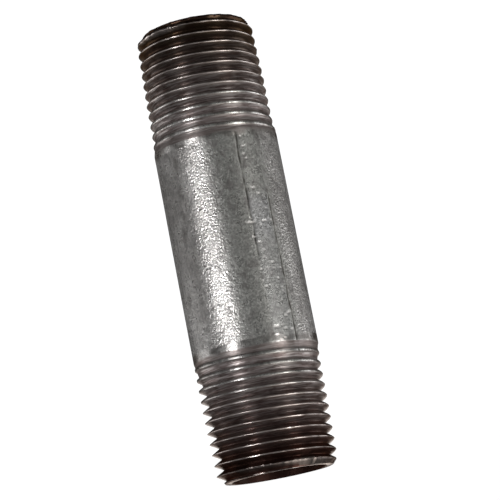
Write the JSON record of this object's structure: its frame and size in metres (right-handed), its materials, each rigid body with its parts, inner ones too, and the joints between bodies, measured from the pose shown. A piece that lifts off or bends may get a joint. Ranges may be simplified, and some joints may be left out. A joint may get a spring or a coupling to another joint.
{
  "type": "threaded pipe nipple",
  "caption": "Short straight galvanised steel pipe with an external tapered pipe thread on each end and an open bore.",
  "frame": {"origin": "centre of the lower end face's plane, on the pipe's axis", "axes": "+Z along the pipe's axis, from the end face it stands on to the other one; -Y passes through the stretch of barrel beside the weld seam"},
  "size_m": [0.0214, 0.0214, 0.0778],
  "materials": {
    "bare_steel": "cut steel, dark and oily, with bright crests",
    "zinc": "hot-dip galvanised, mottled grey, scuffed"
  },
  "bodies": {
    "root": {"steel_pipe": "bare_steel", "zinc_coat": "zinc"}
  },
  "joints": []
}
